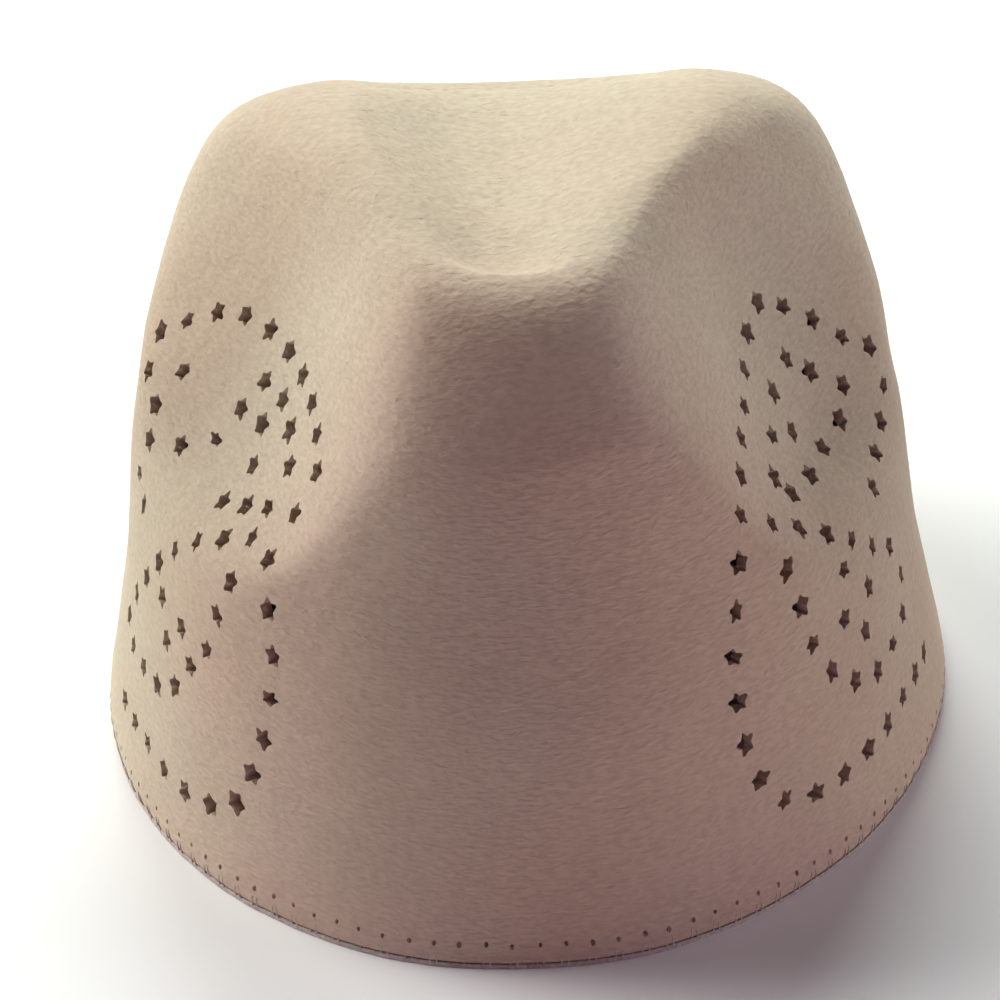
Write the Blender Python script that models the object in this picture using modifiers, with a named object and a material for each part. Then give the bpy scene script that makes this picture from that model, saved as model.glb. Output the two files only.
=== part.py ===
"""A traditional felt cap, blocked from one piece of wool felt.

The crown is a loft: closed loops climb from the oval rim to the two ridges and
down into the crease along the top, with a pinch in each front quarter. Star
holes are punched through the felt in scrolls, on the right and on the left.
The rim lies on z = 0, the front looks along -Y and the wearer's left is +X.
"""
from math import asin, cos, degrees, exp, pi, radians, sin

import bmesh
import bpy
from mathutils import Matrix, Vector

# Driving sizes, in metres
HALF_WIDTH = 0.082  # middle to the rim's outer face, sideways
HALF_LENGTH = 0.100  # middle to the rim's outer face, forwards and back
CROWN_HEIGHT = 0.114  # rim to the two ridges
CREASE_DEPTH = 0.010  # ridges down to the middle of the top crease
PINCH_DEPTH = 0.020  # deepest place of the two front pinches
WALL = 0.0024  # thickness of the felt
STAR_RADIUS = 0.0021  # middle of a star hole to its points

# Shapes without a length
STAR_POINTS = 5
STAR_WAIST = 0.5  # inner corners of a star, as a share of its radius
FRONT_ROLL = 2.1  # how late a loop's height turns towards its height at the front or back
PINCH_NOSE_EDGE = 3.2  # steepness of a pinch towards the nose
PINCH_EAR_EDGE = 3.0  # steepness of a pinch towards the ear

# Mesh fineness
COLUMNS = 56
FINE_FROM = 3  # loops are doubled from this section row up
TRIM_CLIMB = -0.5  # the loft starts this far below the rim, and is cut level there
CURVE_STEPS = 40  # straight pieces between two points of a scroll

FELT_COLOUR = (0.56, 0.46, 0.34, 1.0)

# One row for each loop, from the rim up over the ridges to the crease's middle.
# side, front, back: reach as shares of HALF_WIDTH, HALF_LENGTH and HALF_LENGTH
# rise_side, rise_front, rise_back: height as shares of CROWN_HEIGHT
# sink: drop into the crease as a share of CREASE_DEPTH
# pinch, turn: share of PINCH_DEPTH, and degrees from the front to its middle
# nose_spread, ear_spread: degrees that the pinch reaches to either side
SECTION_COLUMNS = (
    "side", "front", "back", "rise_side", "rise_front", "rise_back", "sink",
    "pinch", "turn", "nose_spread", "ear_spread",
)
SECTIONS = (
    (1.000, 1.000, 1.000, 0.000, 0.000, 0.000, 0.0, 0.00, 62, 18, 22),
    (0.995, 0.985, 1.000, 0.050, 0.050, 0.050, 0.0, 0.00, 62, 18, 22),
    (0.935, 0.960, 0.980, 0.270, 0.240, 0.255, 0.0, 0.00, 62, 18, 22),
    (0.890, 0.925, 0.960, 0.460, 0.395, 0.425, 0.0, 0.04, 62, 14, 16),
    (0.865, 0.890, 0.920, 0.555, 0.525, 0.570, 0.0, 0.48, 59, 17, 16),
    (0.845, 0.850, 0.860, 0.695, 0.660, 0.710, 0.0, 0.95, 56, 24, 28),
    (0.740, 0.795, 0.765, 0.910, 0.780, 0.800, 0.0, 1.00, 58, 30, 35),
    (0.600, 0.690, 0.665, 0.975, 0.915, 0.835, 0.0, 0.73, 57, 31, 34),
    (0.490, 0.585, 0.550, 0.995, 0.955, 0.860, 0.0, 0.55, 52, 27, 37),
    (0.350, 0.480, 0.450, 1.000, 0.950, 0.920, 0.2, 0.40, 46, 27, 38),
    (0.160, 0.310, 0.300, 1.000, 0.985, 0.970, 0.9, 0.12, 43, 28, 38),
    (0.000, 0.000, 0.000, 1.000, 1.000, 1.000, 1.0, 0.00, 43, 26, 30),
)

# The scrolls of star holes on either side, each with its number of holes and the
# points that it runs through: degrees of turn from the front, and climb counted
# in rows of SECTIONS. The two sides follow one design, punched freehand.
RIGHT_SCROLLS = {
    "border": (30, (
        (72, 1.62), (59, 1.52), (47, 1.48), (37, 1.5), (29, 1.9), (28, 2.7), (28.5, 3.5), (31, 4.2),
        (36, 4.65), (43, 4.73), (51, 4.87), (59, 5.22), (67, 5.3), (74, 5.05), (80, 4.45), (77, 3.9),
        (72, 3.55), (64, 3.27),
    )),
    "lower_ring": (15, (
        (39, 4.17), (48, 3.7), (57, 2.97), (65, 2.35), (60, 1.98), (49, 2.0), (42, 2.6), (39, 3.67),
    )),
    "lower_hook": (4, ((50, 3.0), (48, 2.6), (52, 2.37), (54, 2.67))),
    "upper_ring": (10, ((66, 4.83), (57, 4.67), (46, 4.2), (54, 3.95), (64, 4.0), (73, 4.25), (70, 4.63))),
    "upper_eye": (1, ((58, 4.33), (60, 4.4))),
}
LEFT_SCROLLS = {
    "border": (29, (
        (69, 1.4), (59, 1.37), (49, 1.34), (40, 1.47), (36, 2.3), (36, 3.3), (37.5, 4.0), (34, 4.6),
        (37, 5.0), (47, 5.13), (55, 5.28), (70, 5.27), (80, 5.08), (84.5, 4.7), (80, 4.3), (76, 3.9),
        (75, 3.3), (70, 3.07),
    )),
    "lower_ring": (15, (
        (45, 3.97), (54, 3.5), (63, 2.7), (71, 2.0), (64, 1.8), (54, 1.97), (48, 2.55), (45, 3.47),
    )),
    "lower_hook": (3, ((58, 2.65), (56.5, 2.35), (53, 2.5))),
    "upper_ring": (9, ((61, 4.97), (51, 4.87), (43.5, 4.5), (50, 4.07), (61, 3.83), (71, 4.0), (77, 4.6))),
    "upper_hook": (4, ((54, 4.33), (56, 4.67), (63, 4.65), (65, 4.27))),
}


def curve_value(before, start, end, after, share):
    """Return the smooth curve's value at a share of the way from start to end."""
    return 0.5 * (
        2 * start
        + (end - before) * share
        + (2 * before - 5 * start + 4 * end - after) * share**2
        + (3 * start - before - 3 * end + after) * share**3
    )


def curve_through(points, position):
    """Read a smooth curve through rows of numbers at a row position such as 3.4."""
    index = min(max(int(position), 0), len(points) - 2)
    start, end = points[index], points[index + 1]
    before = points[index - 1] if index > 0 else [2 * a - b for a, b in zip(start, end)]
    after = points[index + 2] if index + 2 < len(points) else [2 * b - a for a, b in zip(start, end)]
    return [curve_value(*values, position - index) for values in zip(before, start, end, after)]


def crown_point(turn, climb):
    """Return the outer face's point at a turn from the front and a climb in section rows."""
    row = dict(zip(SECTION_COLUMNS, curve_through(SECTIONS, climb)))
    ahead = cos(turn) > 0
    reach = HALF_LENGTH * row["front" if ahead else "back"]
    side = HALF_WIDTH * row["side"]
    rise_end = row["rise_front" if ahead else "rise_back"]
    blend = abs(cos(turn)) ** FRONT_ROLL
    rise = row["rise_side"] + (rise_end - row["rise_side"]) * blend
    height = CROWN_HEIGHT * rise - CREASE_DEPTH * row["sink"]
    x, y = side * sin(turn), -reach * cos(turn)
    if side < 1e-9:
        return Vector((0.0, 0.0, height))
    outward = Vector((reach * sin(turn), -side * cos(turn), 0.0)).normalized()
    from_front = 90 - degrees(asin(cos(turn)))
    behind = from_front > row["turn"]
    spread = row["ear_spread" if behind else "nose_spread"]
    edge = PINCH_EAR_EDGE if behind else PINCH_NOSE_EDGE
    bump = exp(-((abs(from_front - row["turn"]) / spread) ** edge))
    return Vector((x, y, height)) - outward * PINCH_DEPTH * row["pinch"] * bump


def crown_axes(turn, climb):
    """Return the outer face's unit normal and its unit upward direction."""
    step = 1e-3
    around = crown_point(turn + step, climb) - crown_point(turn - step, climb)
    upward = (crown_point(turn, climb + step) - crown_point(turn, climb - step)).normalized()
    return around.cross(upward).normalized(), upward


def scroll_holes(holes, points):
    """Return the turns and climbs of holes spaced evenly along one scroll."""
    steps = (len(points) - 1) * CURVE_STEPS
    path = [curve_through(points, step / CURVE_STEPS) for step in range(steps + 1)]
    places = [crown_point(radians(turn), climb) for turn, climb in path]
    lengths = [0.0]
    for start, end in zip(places, places[1:]):
        lengths.append(lengths[-1] + (end - start).length)
    gap = lengths[-1] / max(holes - 1, 1)
    nearest = [min(range(steps + 1), key=lambda i: abs(lengths[i] - hole * gap)) for hole in range(holes)]
    return [path[index] for index in nearest]


def star_places():
    """Return the turn and climb of each star hole, right side first."""
    places = []
    for side, scrolls in ((1, RIGHT_SCROLLS), (-1, LEFT_SCROLLS)):
        for holes, points in scrolls.values():
            places += [(side * radians(turn), climb) for turn, climb in scroll_holes(holes, points)]
    return places


def make_collection(name):
    collection = bpy.data.collections.new(name)
    bpy.context.scene.collection.children.link(collection)
    return collection


def make_object(name, build, collection):
    """Make a mesh object whose mesh is filled in by the build function."""
    mesh = bpy.data.meshes.new(name)
    shape = bmesh.new()
    build(shape)
    shape.to_mesh(mesh)
    shape.free()
    made = bpy.data.objects.new(name, mesh)
    collection.objects.link(made)
    return made


def make_felt():
    felt = bpy.data.materials.new("wool_felt")
    felt.use_nodes = True
    shader = felt.node_tree.nodes["Principled BSDF"]
    shader.inputs["Base Color"].default_value = FELT_COLOUR
    shader.inputs["Roughness"].default_value = 0.95
    shader.inputs["Metallic"].default_value = 0.0
    return felt


def build_crown(shape):
    """Loft the open outer face from just below the rim to the middle of the crease."""
    top = len(SECTIONS) - 1
    climbs = [TRIM_CLIMB, *range(1, FINE_FROM)]
    climbs += [FINE_FROM + step / 2 for step in range(2 * (top - FINE_FROM))]
    turns = [2 * pi * column / COLUMNS for column in range(COLUMNS)]
    rings = [[shape.verts.new(crown_point(turn, climb)) for turn in turns] for climb in climbs]
    middle = shape.verts.new(crown_point(0.0, top))
    for lower, upper in zip(rings, rings[1:]):
        for column in range(COLUMNS):
            following = (column + 1) % COLUMNS
            shape.faces.new((lower[column], lower[following], upper[following], upper[column]))
    for column in range(COLUMNS):
        shape.faces.new((rings[-1][column], rings[-1][(column + 1) % COLUMNS], middle))


def build_star_cutters(shape):
    """Place a star-shaped prism through the felt at each hole."""
    for turn, climb in star_places():
        normal, upward = crown_axes(turn, climb)
        sideways = upward.cross(normal)
        centre = crown_point(turn, climb) - normal * WALL / 2
        frame = Matrix((sideways, upward, normal)).transposed().to_4x4()
        prism = bmesh.ops.create_cone(
            shape, cap_ends=True, segments=2 * STAR_POINTS, radius1=STAR_RADIUS, radius2=STAR_RADIUS,
            depth=2 * WALL,
        )["verts"]
        for vert in prism:
            corner = round((pi / 2 - Vector((1, 0)).angle_signed(vert.co.xy, 0.0)) * STAR_POINTS / pi)
            if corner % 2:
                vert.co.xy *= STAR_WAIST
        bmesh.ops.transform(shape, matrix=Matrix.Translation(centre) @ frame, verts=prism)


def build_trim_cutter(shape):
    """Make the block below the rim that cuts the felt's edge level."""
    depth = CROWN_HEIGHT
    size = Matrix.Diagonal((3 * HALF_WIDTH, 3 * HALF_LENGTH, depth, 1.0))
    bmesh.ops.create_cube(shape, size=1.0, matrix=Matrix.Translation((0, 0, -depth / 2)) @ size)


def add_wall(crown):
    wall = crown.modifiers.new("felt_wall", "SOLIDIFY")
    wall.thickness = WALL
    wall.offset = -1
    wall.use_even_offset = True


def cut(crown, cutters):
    """Cut the rim level and punch the stars."""
    holes = crown.modifiers.new("rim_and_stars", "BOOLEAN")
    holes.operation = "DIFFERENCE"
    holes.solver = "EXACT"
    holes.use_self = True
    holes.operand_type = "COLLECTION"
    holes.collection = cutters
    for cutter in cutters.objects:
        cutter.hide_render = True
        cutter.display_type = "WIRE"


def main():
    for old in list(bpy.data.objects):
        bpy.data.objects.remove(old, do_unlink=True)
    cap = make_collection("felt_cap")
    cutters = make_collection("cutters")
    crown = make_object("crown", build_crown, cap)
    crown.data.materials.append(make_felt())
    crown.data.shade_smooth()
    make_object("star_cutter", build_star_cutters, cutters)
    make_object("trim_cutter", build_trim_cutter, cutters)
    add_wall(crown)
    cut(crown, cutters)


main()
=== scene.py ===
"""A felt cap with a creased crown, dressed for the picture.

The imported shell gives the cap's size and place. A finer shell of the same kind of
form stands for it here: felt of uneven thickness with ragged star holes, a rounded
rim sewn over with thread, and loose hairs of wool on its face.
The cap stands on z = 0, its front looks along -Y and the wearer's left is +X.
"""
import math

import bpy
import numpy as np
from mathutils import Matrix, Vector


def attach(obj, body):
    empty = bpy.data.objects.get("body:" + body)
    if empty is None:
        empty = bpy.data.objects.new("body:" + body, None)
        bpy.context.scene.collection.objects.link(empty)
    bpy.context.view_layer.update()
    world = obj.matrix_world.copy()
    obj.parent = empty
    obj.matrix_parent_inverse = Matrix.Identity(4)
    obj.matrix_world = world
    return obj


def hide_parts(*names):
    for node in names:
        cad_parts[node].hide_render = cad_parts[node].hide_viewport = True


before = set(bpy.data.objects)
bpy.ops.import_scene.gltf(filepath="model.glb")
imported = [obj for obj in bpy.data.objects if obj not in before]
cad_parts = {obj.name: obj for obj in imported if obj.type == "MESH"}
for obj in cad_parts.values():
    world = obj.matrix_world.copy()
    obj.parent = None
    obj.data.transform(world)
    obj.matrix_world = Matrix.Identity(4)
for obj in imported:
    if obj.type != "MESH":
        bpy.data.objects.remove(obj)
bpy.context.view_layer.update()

# --------------------------------------------------------------------------
# Sizes in metres
# --------------------------------------------------------------------------
HALF_WIDTH = 0.082
HALF_LENGTH = 0.100
CROWN_HEIGHT = 0.114
CREASE_DEPTH = 0.010
PINCH_DEPTH = 0.022
WALL = 0.0024
FRONT_ROLL = 2.6  # how squarely a row's rise at the side turns into its rise at the front
PINCH_BOTTOM = 1.3  # how round a pinch's bottom is
PINCH_NOSE_EDGE = 0.093  # how soft the ridge is between a pinch and the nose
PINCH_EAR_EDGE = 0.19  # and between a pinch and the ear

FINE_GAP = 0.00105  # from column to column of the felt's mesh where the stars are
PLAIN_GAP = 0.0021  # and elsewhere round the cap
STAR_SIDE = (24, 92)  # degrees of turn from the front that the stars lie between
ROW_GAP = 0.0013  # from row to row up the felt's outside
LINING_GAP = 0.0030  # and up its inside
MIDDLE_ROW = 10.0  # in the crease's middle the wall's thickness turns to straight up
MIDDLE_SPAN = 0.6  # over this many section rows

RIM_STEPS = 7  # rows round the rim's rounded edge
RIM_ROUNDING = 0.0007  # height of the rim's rounded edge
RIM_FULLNESS = 0.8  # below 1 the edge is fuller than a half circle
RIM_LIFT = 0.0003  # the felt stands this high on its threads
RIM_LIFT_FADE = 0.006  # height over which that lift fades out
HEIGHT_TURN = 0.6  # turn from the front, in radians, at which heights above the rim are read

# Unevenness of the felt: wave length, height, how many waves cross, seed
FELT_WAVES = ((0.045, 0.00020, 14, 3), (0.018, 0.00007, 16, 5), (0.006, 0.000025, 18, 7))
LINING_WAVES = (0.020, 0.00010, 14, 11)

PUNCH_SEED = 21
STAR_RADIUS = 0.0024
STAR_WAIST = 0.62  # share of the radius between two tips
STAR_TIP = ((-0.22, 0.86), (-0.09, 0.98), (0.09, 0.98), (0.22, 0.86))  # a blunt tip: angle, reach
STAR_SIZES = (0.88, 1.06)  # least and most share of the radius, star by star
TIP_SIZES = (0.84, 1.08)  # tip by tip
WAIST_SIZES = (0.88, 1.14)  # and waist by waist
STAR_SPIN = 0.22  # how far a punch was turned as a rule, in radians
STAR_CLOSINGS = (0.0, 0.18, 0.3)  # how far the felt has closed up across a star
CLOSING_ODDS = (0.55, 0.33, 0.12)

STITCH_PITCH = 0.00445
STITCH_BITE = 0.0042  # from the rim's edge up to the needle holes
NEEDLE_HOLE = 0.00032
NEEDLE_SIZES = (0.85, 1.25)  # least and most share of that radius
NEEDLE_CONE = ((-0.5, 0.25), (0.25, 1.7))  # depth in walls and reach in radii, inside and outside
NEEDLE_TALLNESS = 1.3
NEEDLE_CORNERS = 8
NEEDLE_STRAY = (0.00015, 0.0001)  # how far a hole strays upward and sideways

STITCH_SEED = 5
THREAD = 0.00036  # diameter of the sewing thread
THREAD_PLIES = 0.18  # depth of the groove between its two plies, as a share of its radius
THREAD_TWIST = 4200.0  # radians of twist for each metre of thread
LEG_SPREAD = 0.13  # share of the pitch between a stitch's middle and each leg at the edge
LEG_LEAN = 0.10  # how far stitches lean as a rule, as a share of the pitch
LEG_FOOT = 0.0005  # height of a leg's lower end
LEG_PROUD = 0.00002  # a leg's middle line over the felt's face
LEG_DIVE = 0.0006  # how deep it goes into its needle hole
LEG_TUCK = 0.0001  # and how far it tucks in at the edge
EDGE_THREAD = 0.0009  # height of the flat thread that lies along the rim's edge
EDGE_THREAD_FLATNESS = -0.55
EDGE_THREAD_SUNK = 0.0001

HAIR_SEED = 8
HAIRS = 2400  # loose hairs of wool on the outer face
STAR_HAIRS = 4  # and more at each star hole
STAR_HAIR_SPREAD = (0.012, 0.05)  # turn in radians and climb in rows
HAIR_LENGTH = 0.0017
HAIR_RADIUS = 0.00002
HAIR_ROW_GAP = 0.001
HAIR_SLANT = 0.55  # how far hairs turn from lying round the cap, in radians
HAIR_CURL = 0.25
HAIR_LIFT = 0.04  # most rise of a hair's free end, as a share of its length

# One row for each section from the rim to the crease's middle, as shares of the sizes above.
# turn and spreads are degrees: where the pinch is and how far it reaches to the nose and the ear
SECTION_COLUMNS = (
    "side", "front", "back", "rise_side", "rise_front", "rise_back", "sink",
    "pinch", "turn", "nose_spread", "ear_spread",
)
SECTIONS = (
    (1.000, 1.000, 1.000, 0.000, 0.000, 0.000, 0.00, 0.00, 62, 24, 29),
    (0.998, 0.990, 1.000, 0.050, 0.050, 0.050, 0.00, 0.00, 62, 24, 29),
    (0.932, 0.959, 0.980, 0.262, 0.299, 0.267, 0.00, 0.00, 62, 24, 29),
    (0.890, 0.925, 0.960, 0.477, 0.468, 0.452, 0.00, 0.13, 62, 19, 21),
    (0.862, 0.897, 0.920, 0.575, 0.588, 0.606, 0.00, 0.50, 58, 26, 22),
    (0.837, 0.858, 0.860, 0.689, 0.720, 0.741, 0.00, 0.75, 56, 33, 32),
    (0.752, 0.823, 0.749, 0.907, 0.790, 0.811, 0.00, 1.00, 63, 44, 41),
    (0.576, 0.710, 0.654, 0.978, 0.919, 0.822, 0.00, 0.63, 61, 42, 41),
    (0.428, 0.619, 0.535, 0.994, 0.958, 0.812, 0.00, 0.38, 54, 34, 51),
    (0.283, 0.555, 0.441, 0.992, 0.960, 0.911, 0.20, 0.30, 42, 39, 55),
    (0.115, 0.345, 0.300, 1.000, 1.003, 0.989, 0.66, 0.16, 38, 40, 52),
    (0.000, 0.000, 0.000, 1.000, 1.000, 1.000, 0.77, 0.00, 43, 35, 40),
)
# The real cap has settled a little to one side: its rows shift in X, its pinches turn that way
LEAN_COLUMNS = ("shift", "skew")
LEANS = (
    (0.000, 0.0), (0.000, 0.0), (0.000, 0.0), (0.000, 0.0), (0.000, 1.6), (0.005, 2.0),
    (0.007, 0.8), (0.012, -0.1), (0.020, -2.1), (-0.007, -2.4), (-0.028, -1.0), (0.000, 0.0),
)
# Each scroll: how many holes, and the turns in degrees and climbs in rows that they run through
RIGHT_SCROLLS = {
    "border": (29, (
        (69.5, 1.55), (60, 1.55), (52, 1.5), (42.5, 1.45), (33.5, 1.55), (30, 1.9), (29, 2.4),
        (29, 2.75), (30, 3.2), (31.5, 3.95), (33.5, 4.35), (40.5, 4.75), (47, 4.95), (52.5, 5.15),
        (58, 5.3), (66, 5.4), (69, 5.3), (73, 5.2), (77, 4.85), (81, 4.45), (78.5, 3.7),
        (73, 3.35), (68.5, 3.2), (65.5, 3.05),
    )),
    "lower_ring": (15, (
        (40, 3.9), (47.5, 3.45), (52.5, 3.1), (59, 2.75), (65.5, 2.5), (66.5, 2.1), (62, 2.0),
        (55, 1.9), (47.5, 2.05), (42.5, 2.45), (41, 2.8), (39, 3.35),
    )),
    "lower_hook": (4, ((51.5, 2.8), (49.5, 2.45), (54, 2.25), (56.5, 2.5))),
    "upper_ring": (10, (
        (65, 4.95), (57, 4.75), (50.5, 4.3), (45.5, 4.0), (51.5, 3.8), (59, 3.75), (64, 3.85),
        (69.5, 3.95), (73.5, 4.2), (68.5, 4.7),
    )),
    "upper_eye": (1, ((58.5, 4.25), (60, 4.3))),
}
LEFT_SCROLLS = {
    "border": (29, (
        (68, 1.4), (58.5, 1.4), (48.5, 1.35), (39, 1.5), (35, 2.0), (33.5, 2.6), (34, 3.05),
        (36.5, 3.75), (35, 4.3), (32.5, 4.75), (35.5, 5.0), (42.5, 5.2), (50.5, 5.3), (59.5, 5.35),
        (69, 5.35), (74, 5.3), (79, 5.15), (83, 4.85), (79, 4.3), (75, 4.0), (76, 3.0),
        (71.5, 2.85),
    )),
    "lower_ring": (16, (
        (42.5, 3.75), (51.5, 3.3), (61.5, 2.7), (66, 2.4), (69.5, 2.15), (71, 1.9), (65.5, 1.85),
        (55, 1.9), (49.5, 2.25), (46.5, 2.4), (44.5, 2.75), (42, 3.25),
    )),
    "lower_hook": (3, ((59, 2.5), (56.5, 2.25), (52.5, 2.45))),
    "upper_ring": (7, (
        (58, 5.05), (50.5, 5.0), (45, 4.8), (41.5, 4.55), (43, 4.05), (48, 3.9), (54, 3.7),
    )),
    "upper_ring_back": (2, ((69, 3.85), (74.5, 4.75))),
    "upper_hook": (4, ((52, 4.25), (53, 4.65), (60.5, 4.7), (63, 4.2))),
}
CURVE_STEPS = 40


# --------------------------------------------------------------------------
# The cap's form
# --------------------------------------------------------------------------
def unit(vectors):
    return vectors / np.maximum(np.linalg.norm(vectors, axis=-1, keepdims=True), 1e-12)


def sums(steps):
    """Return the sum before each step, and after the last."""
    return np.concatenate(([0.0], np.cumsum(steps)))


def step_lengths(points):
    return np.linalg.norm(np.diff(points, axis=0), axis=-1)


def read_rows(rows, positions):
    """Read smooth curves through rows of numbers at row positions such as 3.4."""
    rows = np.asarray(rows, float)
    positions = np.asarray(positions, float)
    index = np.clip(np.floor(positions).astype(int), 0, len(rows) - 2)
    share = (positions - index)[..., None]
    padded = np.vstack((2 * rows[0] - rows[1], rows, 2 * rows[-1] - rows[-2]))
    before, start, end, after = (padded[index + step] for step in range(4))
    return 0.5 * (
        2 * start
        + (end - before) * share
        + (2 * before - 5 * start + 4 * end - after) * share**2
        + (3 * start - before - 3 * end + after) * share**3
    )


def pinch_share(away, edge):
    """Return how deep a pinch is, as a share, at a share of the way out to its edge."""
    out = np.hypot(away, PINCH_BOTTOM) - PINCH_BOTTOM
    out = out / (math.hypot(1, PINCH_BOTTOM) - PINCH_BOTTOM)
    return np.logaddexp(0, (1 - out) / edge) / np.logaddexp(0, 1 / edge)


def crown_points(turn, climb):
    """Return the outer face's points at turns from the front and climbs in section rows."""
    turn, climb = np.broadcast_arrays(np.asarray(turn, float), np.asarray(climb, float))
    row = dict(zip(SECTION_COLUMNS, np.moveaxis(read_rows(SECTIONS, climb), -1, 0)))
    lean = dict(zip(LEAN_COLUMNS, np.moveaxis(read_rows(LEANS, climb), -1, 0)))
    sine, cosine = np.sin(turn), np.cos(turn)
    ahead = cosine > 0
    reach = HALF_LENGTH * np.where(ahead, row["front"], row["back"])
    side = HALF_WIDTH * row["side"]
    rise_end = np.where(ahead, row["rise_front"], row["rise_back"])
    rise = row["rise_side"] + (rise_end - row["rise_side"]) * np.abs(cosine) ** FRONT_ROLL
    height = CROWN_HEIGHT * rise - CREASE_DEPTH * row["sink"]
    points = np.stack((side * sine + HALF_WIDTH * lean["shift"], -reach * cosine, height), -1)
    outward = np.stack((reach * sine, -side * cosine, np.zeros_like(side)), -1)
    outward /= np.maximum(np.linalg.norm(outward, axis=-1, keepdims=True), 1e-9)
    from_front = 90 - np.degrees(np.arcsin(np.clip(cosine, -1, 1)))
    # The two pinches turn the same way, with no step between them at the front
    pinch_turn = row["turn"] + lean["skew"] * np.clip(3 * sine, -1, 1)
    behind = from_front > pinch_turn
    spread = np.where(behind, row["ear_spread"], row["nose_spread"])
    away = np.abs(from_front - pinch_turn) / spread
    share = pinch_share(away, np.where(behind, PINCH_EAR_EDGE, PINCH_NOSE_EDGE))
    return points - outward * (PINCH_DEPTH * row["pinch"] * share)[..., None]


def crown_axes(turn, climb):
    """Return the outer face's unit normals and unit upward directions."""
    step = 1e-3
    around = crown_points(turn + step, climb) - crown_points(turn - step, climb)
    upward = unit(crown_points(turn, climb + step) - crown_points(turn, climb - step))
    return unit(np.cross(around, upward)), upward


def climb_at(height):
    """Return the climbs in section rows that lie at heights above the rim, up to the third row."""
    climbs = np.linspace(0, 2, 81)
    return np.interp(height, crown_points(HEIGHT_TURN, climbs)[:, 2], climbs)


def scroll_holes(holes, points):
    """Return the turns and climbs of holes spaced evenly along one scroll."""
    path = read_rows(points, np.linspace(0, len(points) - 1, (len(points) - 1) * CURVE_STEPS + 1))
    lengths = sums(step_lengths(crown_points(np.radians(path[:, 0]), path[:, 1])))
    gap = lengths[-1] / max(holes - 1, 1)
    return [path[np.abs(lengths - hole * gap).argmin()] for hole in range(holes)]


def star_places():
    """Return the turn and climb of each star hole, the picture's right side first."""
    places = []
    for side, scrolls in ((1, RIGHT_SCROLLS), (-1, LEFT_SCROLLS)):
        for holes, points in scrolls.values():
            places += [
                (side * math.radians(turn), climb) for turn, climb in scroll_holes(holes, points)
            ]
    return places


def even_rows(gap):
    """Return climbs from the rim to the crease's middle, about one gap apart up the felt."""
    climbs = np.linspace(0.0, len(SECTIONS) - 1, 1101)
    turns = np.linspace(0, 2 * math.pi, 24, endpoint=False)
    lengths = sums(step_lengths(crown_points(turns[None, :], climbs[:, None])).mean(axis=1))
    count = int(lengths[-1] / gap)
    return np.interp(np.linspace(0, lengths[-1], count + 1), lengths, climbs)


def rim_lengths():
    """Return turns round the rim and the length of rim before each."""
    turns = np.linspace(-math.pi, math.pi, 2881)
    return turns, sums(step_lengths(crown_points(turns, 0.0)))


def mesh_turns():
    """Return the turns of the felt's mesh columns, close together where the stars are."""
    turns, lengths = rim_lengths()
    from_front = np.degrees(np.abs(turns))
    starry = (from_front > STAR_SIDE[0]) & (from_front < STAR_SIDE[1])
    density = np.where(starry, 1 / FINE_GAP, 1 / PLAIN_GAP)
    columns = sums(np.diff(lengths) * density[1:])
    count = int(columns[-1])
    return np.interp(np.arange(count) * columns[-1] / count, columns, turns)


def stitch_turns():
    """Return the turns of the rim's stitches, evenly spaced round it."""
    turns, lengths = rim_lengths()
    count = round(lengths[-1] / STITCH_PITCH)
    return np.interp(np.arange(count) * lengths[-1] / count, lengths, turns)


def waves(points, length, height, count, seed):
    """Return a gentle unevenness at points: crossing waves of one length, height in metres."""
    chance = np.random.default_rng(seed)
    directions = unit(chance.normal(size=(count, 3)))
    phases = chance.uniform(0, 2 * math.pi, count)
    crossing = np.sin(points @ directions.T * (2 * math.pi / length) + phases)
    return height * crossing.sum(-1) / math.sqrt(count)


def felt_face(turn, climb):
    """Return the felt's uneven outer points, and the form's normals and upward directions."""
    points = crown_points(turn, climb)
    normals, upward = crown_axes(turn, climb)
    # In the crease's middle the loops are narrower than the felt is thick, so they go straight up
    level = np.clip((np.asarray(climb) - MIDDLE_ROW) / MIDDLE_SPAN, 0, 1)[..., None]
    normals = unit(normals * (1 - level) + np.array((0, 0, 1.0)) * level)
    rise = sum(waves(points, *wave) for wave in FELT_WAVES)
    return points + normals * rise[..., None], normals, upward


# --------------------------------------------------------------------------
# Nodes and materials
# --------------------------------------------------------------------------
def linear(hex_colour):
    """Turn an sRGB hex colour into linear red, green, blue and alpha."""
    parts = [int(hex_colour[i:i + 2], 16) / 255 for i in (1, 3, 5)]
    return (*(p / 12.92 if p <= 0.04045 else ((p + 0.055) / 1.055) ** 2.4 for p in parts), 1.0)


def add_node(tree, kind, settings=None, links=None, **values):
    """Add a node: settings are its fields, values its sockets, links what feeds its sockets."""
    node = tree.nodes.new(kind)
    for name, value in (settings or {}).items():
        setattr(node, name, value)
    for name, value in values.items():
        node.inputs[name.replace("_", " ")].default_value = value
    for socket, source in (links or {}).items():
        tree.links.new(source, node.inputs[socket])
    return node


def blank_material(name):
    material = bpy.data.materials.new(name)
    material.use_nodes = True
    tree = material.node_tree
    tree.nodes.clear()
    return material, tree


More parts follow.
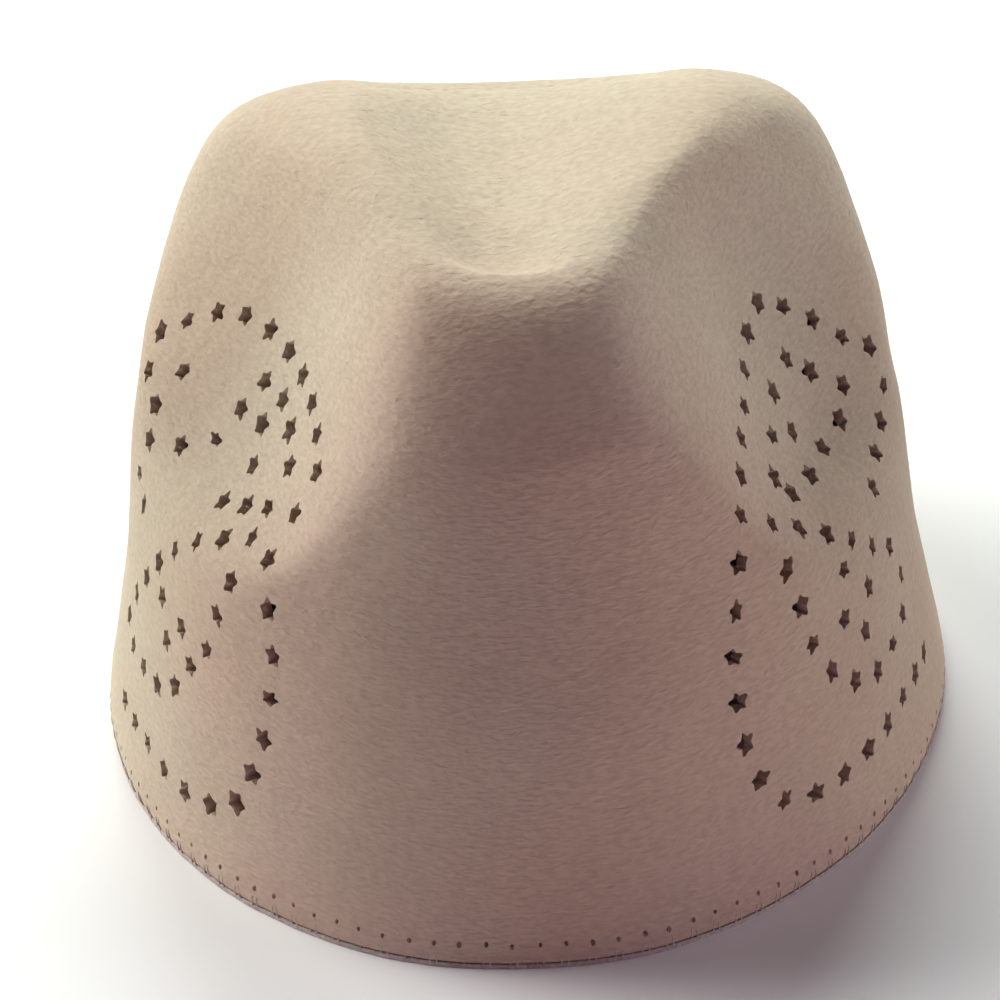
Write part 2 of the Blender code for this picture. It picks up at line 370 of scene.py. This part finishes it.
def blocked_wool_felt():
    """Wool felt, blocked wet and brushed: matt, warm beige, with lying fibres and a faint mottle,
    painted lighter and darker by height and painted pink on the shaded front panel.
    """
    material, tree = blank_material("blocked_wool_felt")
    place = add_node(tree, "ShaderNodeTexCoord").outputs["Object"]
    # Tufts of wool lie round the cap, 1.8 mm long (560 to the metre) and 0.7 mm high.
    # Single fibres are 0.02 mm thick and too fine to show, so tufts are drawn in their place
    lying = add_node(
        tree, "ShaderNodeMapping", links={"Vector": place}, Scale=(1.0, 1.0, 2.6),
    ).outputs["Vector"]
    tufts = add_node(
        tree, "ShaderNodeTexNoise", links={"Vector": lying}, Scale=560.0, Detail=2.0, Roughness=0.5,
    ).outputs["Fac"]
    # Crumbs of loose wool, 1.1 mm
    crumbs = add_node(
        tree, "ShaderNodeTexNoise", links={"Vector": place}, Scale=900.0, Detail=2.0, Roughness=0.5,
    ).outputs["Fac"]
    # Uneven dye: patches of 26 mm that differ in lightness, of 60 mm that differ in redness
    mottle = add_node(
        tree, "ShaderNodeTexNoise", links={"Vector": place}, Scale=38.0, Detail=4.0, Roughness=0.6,
    ).outputs["Fac"]
    blush = add_node(
        tree, "ShaderNodeTexNoise", links={"Vector": place}, Scale=16.0, Detail=1.0, Roughness=0.5,
    ).outputs["Fac"]
    wool = add_node(tree, "ShaderNodeValToRGB", links={"Fac": tufts})
    wool_stops = zip(wool.color_ramp.elements, (0.30, 0.70), ("#c7b7a0", "#d7c8af"))
    for stop, position, hex_colour in wool_stops:
        stop.position, stop.color = position, linear(hex_colour)
    blush = add_node(
        tree, "ShaderNodeMapRange", links={"Value": blush},
        From_Min=0.4, From_Max=0.66, To_Min=0.0, To_Max=0.6,
    ).outputs["Result"]
    blushed = add_node(
        tree, "ShaderNodeMix", {"data_type": "RGBA", "blend_type": "MULTIPLY"},
        {0: blush, 6: wool.outputs["Color"]},
    )
    blushed.inputs[7].default_value = linear("#f4e4e0")
    mottle = add_node(
        tree, "ShaderNodeMapRange", links={"Value": mottle},
        From_Min=0.3, From_Max=0.7, To_Min=0.97, To_Max=1.03,
    ).outputs["Result"]
    # Painted light and shade by height: the felt is painted palest at the rim, against the shade near
    # the floor, and darkest half way up as painted shade
    spot = add_node(tree, "ShaderNodeSeparateXYZ", links={"Vector": place})
    climb = add_node(
        tree, "ShaderNodeMapRange", links={"Value": spot.outputs["Z"]}, From_Max=CROWN_HEIGHT,
    ).outputs["Result"]
    painted_height_shade = add_node(tree, "ShaderNodeValToRGB", links={"Fac": climb})
    stops = painted_height_shade.color_ramp.elements
    stops[0].color = (1.0, 1.0, 1.0, 1.0)
    stops[1].position, stops[1].color = 0.80, (0.90, 0.90, 0.90, 1.0)
    for position, tone in ((0.12, 0.91), (0.48, 0.82)):
        stops.new(position).color = (tone, tone, tone, 1.0)
    # The mottle, times the painted light and shade by height
    shade = add_node(
        tree, "ShaderNodeMath", {"operation": "MULTIPLY"}, {0: mottle, 1: painted_height_shade.outputs["Color"]},
    ).outputs["Value"]
    # Painted shade colour: the front panel, between the pinches, is painted a little rosier than the
    # rest, as the pink light in its shade would make it
    painted_pink_shade_mask = add_node(
        tree, "ShaderNodeMapRange", links={"Value": spot.outputs["Y"]},
        From_Min=-0.045, From_Max=-0.088,
    ).outputs["Result"]
    painted_pink_shade = add_node(
        tree, "ShaderNodeMix", {"data_type": "RGBA", "blend_type": "MULTIPLY"},
        {0: painted_pink_shade_mask, 6: blushed.outputs[2]},
    )
    painted_pink_shade.inputs[7].default_value = linear("#fff1f7")
    toned = add_node(
        tree, "ShaderNodeVectorMath", {"operation": "SCALE"},
        {"Vector": painted_pink_shade.outputs[2], "Scale": shade},
    ).outputs["Vector"]
    # Tufts stand up to 0.22 mm high, and crumbs up to 0.12 mm on them
    rough = add_node(
        tree, "ShaderNodeBump", links={"Height": tufts}, Strength=1.0, Distance=0.00022,
    ).outputs["Normal"]
    fine = add_node(
        tree, "ShaderNodeBump", links={"Height": crumbs, "Normal": rough},
        Strength=0.7, Distance=0.00012,
    ).outputs["Normal"]
    shader = add_node(
        tree, "ShaderNodeBsdfPrincipled", links={"Base Color": toned, "Normal": fine},
        Roughness=0.95, Specular_IOR_Level=0.2,
        Sheen_Weight=0.25, Sheen_Roughness=0.6, Sheen_Tint=linear("#f3e6d0"),
    )
    add_node(tree, "ShaderNodeOutputMaterial", links={"Surface": shader.outputs["BSDF"]})
    return material


def twisted_cotton_thread():
    """Cotton sewing thread, spun and twisted: grey beige with a soft gleam, darker in places."""
    material, tree = blank_material("cotton_sewing_thread")
    place = add_node(tree, "ShaderNodeTexCoord").outputs["Object"]
    # Slubs of 0.7 mm, twice the thread's thickness
    slubs = add_node(
        tree, "ShaderNodeTexNoise", links={"Vector": place}, Scale=1400.0, Detail=2.0,
    ).outputs["Fac"]
    cotton = add_node(tree, "ShaderNodeValToRGB", links={"Fac": slubs})
    cotton_stops = zip(cotton.color_ramp.elements, (0.3, 0.7), ("#b0a29a", "#d6c8ba"))
    for stop, position, hex_colour in cotton_stops:
        stop.position, stop.color = position, linear(hex_colour)
    shader = add_node(
        tree, "ShaderNodeBsdfPrincipled", links={"Base Color": cotton.outputs["Color"]},
        Roughness=0.7, Sheen_Weight=0.2,
    )
    add_node(tree, "ShaderNodeOutputMaterial", links={"Surface": shader.outputs["BSDF"]})
    return material


def matt_floor_paint():
    """Rolled matt paint on the studio floor: pale, without gloss."""
    material, tree = blank_material("pale_studio_floor")
    shader = add_node(
        tree, "ShaderNodeBsdfPrincipled", Base_Color=linear("#fcfcfb"), Roughness=0.9,
    )
    add_node(tree, "ShaderNodeOutputMaterial", links={"Surface": shader.outputs["BSDF"]})
    return material


# --------------------------------------------------------------------------
# Meshes
# --------------------------------------------------------------------------
def add_mesh(name, points, faces, material=None):
    mesh = bpy.data.meshes.new(name)
    points = [tuple(map(float, point)) for point in points]
    mesh.from_pydata(points, [], [tuple(face) for face in faces])
    mesh.update()
    made = bpy.data.objects.new(name, mesh)
    bpy.context.scene.collection.objects.link(made)
    if material:
        mesh.materials.append(material)
    return made


def apply_modifiers(made):
    """Replace the object's mesh by what its modifiers make of it."""
    graph = bpy.context.evaluated_depsgraph_get()
    finished = bpy.data.meshes.new_from_object(made.evaluated_get(graph))
    made.modifiers.clear()
    made.data = finished


def felt_skin():
    """Return the points and faces of the whole felt shell, outside and inside, round the rim."""
    turns = mesh_turns()
    columns = len(turns)
    start = climb_at(WALL / 3)

    def skin(gap, inside):
        climbs = even_rows(gap)[:-1]
        # No row lies closer than this to the first one above the rim
        climbs = np.concatenate(([start], climbs[climbs > start + 0.05]))
        points, normals, _ = felt_face(*np.broadcast_arrays(turns[None, :], climbs[:, None]))
        if inside:
            points = points - normals * (WALL + waves(points, *LINING_WAVES))[..., None]
        return points

    outer = skin(ROW_GAP, False)
    inner = skin(LINING_GAP, True)
    middle = (outer[0] + inner[0]) / 2
    across = (outer[0] - inner[0]) / 2
    down = np.array((0, 0, -1.0))
    rim = []
    for step in range(1, RIM_STEPS + 1):
        angle = math.pi * step / (RIM_STEPS + 1)
        below = down * RIM_ROUNDING * math.sin(angle) ** RIM_FULLNESS
        rim.append(middle + across * math.cos(angle) + below)
    rings = [*inner[::-1], *rim[::-1], *outer]
    lowest = min(ring[:, 2].min() for ring in rim)
    for ring in rings:
        ring[:, 2] += (RIM_LIFT - lowest) * np.exp(-np.maximum(ring[:, 2], 0) / RIM_LIFT_FADE)
    points = np.concatenate(rings)
    faces = []
    for row in range(len(rings) - 1):
        low, high = row * columns, (row + 1) * columns
        for column in range(columns):
            following = (column + 1) % columns
            faces.append((low + column, low + following, high + following, high + column))
    top = crown_points(0.0, len(SECTIONS) - 1)
    points = np.vstack((points, top, top + down * WALL))
    last = (len(rings) - 1) * columns
    for column in range(columns):
        following = (column + 1) % columns
        faces.append((last + column, last + following, len(points) - 2))
        faces.append((following, column, len(points) - 1))
    return points, faces


def star_prism(turn, climb, chance):
    """Return the points of one punched star's prism, a little ragged as felt tears."""
    face, normal, upward = felt_face(turn, climb)
    sideways = np.cross(upward, normal)
    centre = face - normal * WALL / 2
    radius = STAR_RADIUS * chance.uniform(*STAR_SIZES)
    spin = chance.normal(0, STAR_SPIN)
    # The felt has closed up a little across some stars and more across a few
    closing = 1 - chance.choice(STAR_CLOSINGS, p=CLOSING_ODDS)
    closing_turn = chance.uniform(0, math.pi)
    outline = []
    for point in range(5):
        tip = radius * chance.uniform(*TIP_SIZES)
        waist = radius * STAR_WAIST * chance.uniform(*WAIST_SIZES)
        heading = math.pi / 2 + spin + 2 * math.pi * point / 5
        for offset, reach in STAR_TIP:
            outline.append((heading + offset, tip * reach))
        outline.append((heading + math.pi / 5, waist))
    rings = []
    for depth in (-WALL, WALL):
        for heading, reach in outline:
            along = reach * math.cos(heading - closing_turn)
            across = reach * math.sin(heading - closing_turn) * closing
            side = along * math.cos(closing_turn) - across * math.sin(closing_turn)
            rise = along * math.sin(closing_turn) + across * math.cos(closing_turn)
            rings.append(centre + normal * depth + sideways * side + upward * rise)
    return rings


def needle_prism(turn, chance):
    """Return the points of one needle hole: a short cone into the felt above the rim."""
    face, normal, upward = felt_face(turn, climb_at(STITCH_BITE))
    sideways = np.cross(upward, normal)
    higher, aside = NEEDLE_STRAY
    centre = face + upward * chance.normal(0, higher) + sideways * chance.normal(0, aside)
    radius = NEEDLE_HOLE * chance.uniform(*NEEDLE_SIZES)
    rings = []
    for depth, reach in NEEDLE_CONE:
        for corner in range(NEEDLE_CORNERS):
            heading = 2 * math.pi * corner / NEEDLE_CORNERS
            rings.append(
                centre + normal * (depth * WALL)
                + sideways * radius * reach * math.cos(heading)
                + upward * NEEDLE_TALLNESS * radius * reach * math.sin(heading)
            )
    return rings


def prisms_object(name, prisms):
    """Make one mesh of closed prisms, each given as its lower and then its upper ring of points."""
    points, faces = [], []
    for rings in prisms:
        count, base = len(rings) // 2, len(points)
        points += rings
        faces.append([base + corner for corner in reversed(range(count))])
        faces.append([base + count + corner for corner in range(count)])
        for corner in range(count):
            following = (corner + 1) % count
            faces.append((
                base + corner, base + following, base + count + following, base + count + corner,
            ))
    return add_mesh(name, points, faces)


def make_felt(material):
    """Make the felt shell and punch its stars and needle holes."""
    crown = add_mesh("felt_crown", *felt_skin(), material)
    chance = np.random.default_rng(PUNCH_SEED)
    prisms = [star_prism(turn, climb, chance) for turn, climb in star_places()]
    prisms += [needle_prism(turn, chance) for turn in stitch_turns()]
    punch = prisms_object("star_punch", prisms)
    holes = crown.modifiers.new("holes", "BOOLEAN")
    holes.operation = "DIFFERENCE"
    holes.solver = "MANIFOLD"
    holes.object = punch
    apply_modifiers(crown)
    bpy.data.objects.remove(punch, do_unlink=True)
    crown.data.shade_smooth()
    crown.data.set_sharp_from_angle(angle=math.radians(50))
    return crown


def tube(path, radius, sides, phase=0.0, lobes=0.0, twist=0.0):
    """Return points and faces of a closed tube along a path, two-lobed and twisted where asked."""
    path = np.asarray(path, float)
    along = unit(np.gradient(path, axis=0))
    askew = np.array((0.31, 0.17, 0.93))  # no part of a path runs this way
    across = unit(np.cross(along, askew))
    third = np.cross(along, across)
    lengths = sums(step_lengths(path))
    points, faces = [], []
    for ring in range(len(path)):
        for corner in range(sides):
            angle = 2 * math.pi * corner / sides
            turned = phase + twist * lengths[ring] + angle
            reach = radius * (1 + lobes * math.cos(2 * angle))
            around = across[ring] * math.cos(turned) + third[ring] * math.sin(turned)
            points.append(path[ring] + reach * around)
    for ring in range(len(path) - 1):
        low, high = ring * sides, (ring + 1) * sides
        for corner in range(sides):
            following = (corner + 1) % sides
            faces.append((low + corner, low + following, high + following, high + corner))
    faces.append(list(reversed(range(sides))))
    faces.append([(len(path) - 1) * sides + corner for corner in range(sides)])
    return points, faces


def join_tubes(name, tubes, material):
    points, faces = [], []
    for some_points, some_faces in tubes:
        base = len(points)
        points += some_points
        faces += [[base + corner for corner in face] for face in some_faces]
    made = add_mesh(name, points, faces, material)
    made.data.shade_smooth()
    return made


def make_hairs(material):
    """Lay loose hairs of wool on the outer face, and a few across each star hole."""
    chance = np.random.default_rng(HAIR_SEED)
    count = HAIRS + STAR_HAIRS * len(star_places())
    turns = chance.uniform(-math.pi, math.pi, count)
    # None at the rim's edge or in the crease's middle, and elsewhere as many as a row is long
    rows = even_rows(HAIR_ROW_GAP)[6:-4]
    girths = np.linalg.norm(crown_points(0.0, rows)[:, :2], axis=1)
    climbs = chance.choice(rows, count, p=girths / girths.sum())
    around, upwards = STAR_HAIR_SPREAD
    for index, (turn, climb) in enumerate(star_places()):
        some = slice(HAIRS + index * STAR_HAIRS, HAIRS + (index + 1) * STAR_HAIRS)
        turns[some] = turn + chance.normal(0, around, turns[some].shape)
        climbs[some] = climb + chance.normal(0, upwards, climbs[some].shape)
    face, normals, upward = felt_face(turns, climbs)
    sideways = np.cross(upward, normals)
    heading = chance.normal(0, HAIR_SLANT, count)
    along = sideways * np.cos(heading)[:, None] + upward * np.sin(heading)[:, None]
    across = np.cross(normals, along)
    length = chance.uniform(0.6, 1.0, count) * HAIR_LENGTH
    curl = chance.normal(0, HAIR_CURL, count)
    lift = chance.uniform(0.0, HAIR_LIFT, count)
    shares = np.linspace(-0.5, 0.5, 5)
    tubes = []
    for hair in range(count):
        bend = curl[hair] * shares**2 * length[hair]
        rise = HAIR_RADIUS * 0.5 + lift[hair] * length[hair] * (shares + 0.5) ** 2
        path = (
            face[hair] + along[hair] * (shares * length[hair])[:, None]
            + across[hair] * bend[:, None] + normals[hair] * rise[:, None]
        )
        tubes.append(tube(path, HAIR_RADIUS, 3))
    return join_tubes("loose_wool_hairs", tubes, material)


def make_stitches(material):
    """Overcast the rim: two legs run down from each needle hole, and a flat thread along the edge."""
    chance = np.random.default_rng(STITCH_SEED)
    turns = stitch_turns()
    pitch = turns[1] - turns[0]
    shares = np.linspace(0, 1, 9)
    climbs = climb_at(STITCH_BITE * (1 - shares) + LEG_FOOT * shares)
    proud = LEG_PROUD - LEG_DIVE * (1 - shares) ** 4 - LEG_TUCK * shares**6
    tubes = []
    for turn in turns:
        lean = chance.normal(0, LEG_LEAN)
        for side in (-1, 1):
            spread = side * LEG_SPREAD * np.sin(shares * math.pi / 2) + lean * shares * 0.5
            face, normals, _ = felt_face(turn + spread * pitch, climbs)
            path = face + normals * proud[:, None]
            phase = chance.uniform(0, 6)
            tubes.append(tube(path, THREAD / 2, 6, phase, THREAD_PLIES, THREAD_TWIST))
    edge = np.linspace(0, 2 * math.pi, len(turns) * 6, endpoint=False)
    face, normals, _ = felt_face(edge, np.full_like(edge, climb_at(EDGE_THREAD / 2)))
    face = face - normals * EDGE_THREAD_SUNK
    loop = np.vstack((face, face[:1]))
    tubes.append(tube(loop, EDGE_THREAD / 3, 10, lobes=EDGE_THREAD_FLATNESS))
    return join_tubes("rim_stitches", tubes, material)


# --------------------------------------------------------------------------
# The cap
# --------------------------------------------------------------------------
felt = blocked_wool_felt()
thread = twisted_cotton_thread()
crown = make_felt(felt)
stitches = make_stitches(thread)
hairs = make_hairs(felt)
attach(crown, "root")
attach(stitches, "root")
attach(hairs, "root")
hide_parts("crown")

# --------------------------------------------------------------------------
# Floor, light and camera
# --------------------------------------------------------------------------
FLOOR_REACH = 3
floor_corners = [(x * FLOOR_REACH, y * FLOOR_REACH, 0) for x, y in ((-1, -1), (1, -1), (1, 1), (-1, 1))]
floor = add_mesh("floor", floor_corners, [(0, 1, 2, 3)], matt_floor_paint())

# Azimuth from the cap's front towards +X, elevation, watts, colour
LIGHTS = {
    "window_back_left": (-120, 45, 13.0, "#fbfff3"),
    "window_left_low": (-120, 15, 2.4, "#f4fff0"),
    "window_left": (-105, 30, 10.6, "#fbf4ff"),
    "soft_back": (180, 38, 21.0, "#f6fffb"),
    "soft_right": (90, 15, 7.6, "#fff8ff"),
    "front_fill": (15, 15, 1.3, "#f894f0"),
}
LIGHT_DISC = 0.9
LIGHT_DISTANCE = 1.5
LIGHT_AIM = Vector((0, 0, 0.05))


def add_light(name, azimuth, elevation, power, hex_colour):
    """Add one soft disc of light that looks at the cap."""
    around, up = math.radians(azimuth), math.radians(elevation)
    heading = Vector((
        math.sin(around) * math.cos(up), -math.cos(around) * math.cos(up), math.sin(up),
    ))
    light = bpy.data.lights.new(name, "AREA")
    light.shape = "DISK"
    light.size = LIGHT_DISC
    light.energy = power
    light.color = linear(hex_colour)[:3]
    made = bpy.data.objects.new(name, light)
    place = LIGHT_AIM + heading * LIGHT_DISTANCE
    made.location = place
    made.rotation_euler = (LIGHT_AIM - place).to_track_quat("-Z", "Y").to_euler()
    bpy.context.scene.collection.objects.link(made)


for name, settings in LIGHTS.items():
    add_light(name, *settings)

# The air looks white behind the cap and adds almost no light of its own
world = bpy.data.worlds.new("studio_air")
world.use_nodes = True
air = world.node_tree.nodes["Background"]
air.inputs["Color"].default_value = linear("#fbfafa")
seen = add_node(world.node_tree, "ShaderNodeLightPath").outputs["Is Camera Ray"]
strength = add_node(
    world.node_tree, "ShaderNodeMapRange", links={"Value": seen}, To_Min=0.01, To_Max=1.0,
).outputs["Result"]
world.node_tree.links.new(strength, air.inputs["Strength"])
bpy.context.scene.world = world
bpy.context.scene.view_settings.view_transform = "Standard"

CAMERA_TARGET = Vector((0.0, 0.0, 0.050))
CAMERA_DISTANCE = 0.500
CAMERA_ELEVATION = math.radians(27.6)
CAMERA_AZIMUTH = math.radians(1.1)
CAMERA_ROLL = math.radians(-2.2)
PICTURE = 1000  # width and height of the picture in pixels
FOCAL_PIXELS = 2607.0
TARGET_PIXEL = (517.5, 426.0)
SENSOR_WIDTH = 36.0

lens = bpy.data.cameras.new("camera")
lens.sensor_fit = "HORIZONTAL"
lens.sensor_width = SENSOR_WIDTH
lens.lens = SENSOR_WIDTH * FOCAL_PIXELS / PICTURE
lens.shift_x = (PICTURE / 2 - TARGET_PIXEL[0]) / PICTURE
lens.shift_y = (TARGET_PIXEL[1] - PICTURE / 2) / PICTURE
lens.clip_start = 0.01
camera = bpy.data.objects.new("camera", lens)
level_reach = CAMERA_DISTANCE * math.cos(CAMERA_ELEVATION)
offset = Vector((
    level_reach * math.sin(CAMERA_AZIMUTH), -level_reach * math.cos(CAMERA_AZIMUTH),
    CAMERA_DISTANCE * math.sin(CAMERA_ELEVATION),
))
level = (-offset).to_track_quat("-Z", "Y").to_matrix().to_4x4()
roll = Matrix.Rotation(CAMERA_ROLL, 4, "Z")
camera.matrix_world = Matrix.Translation(CAMERA_TARGET + offset) @ level @ roll
bpy.context.scene.collection.objects.link(camera)
bpy.context.scene.camera = camera
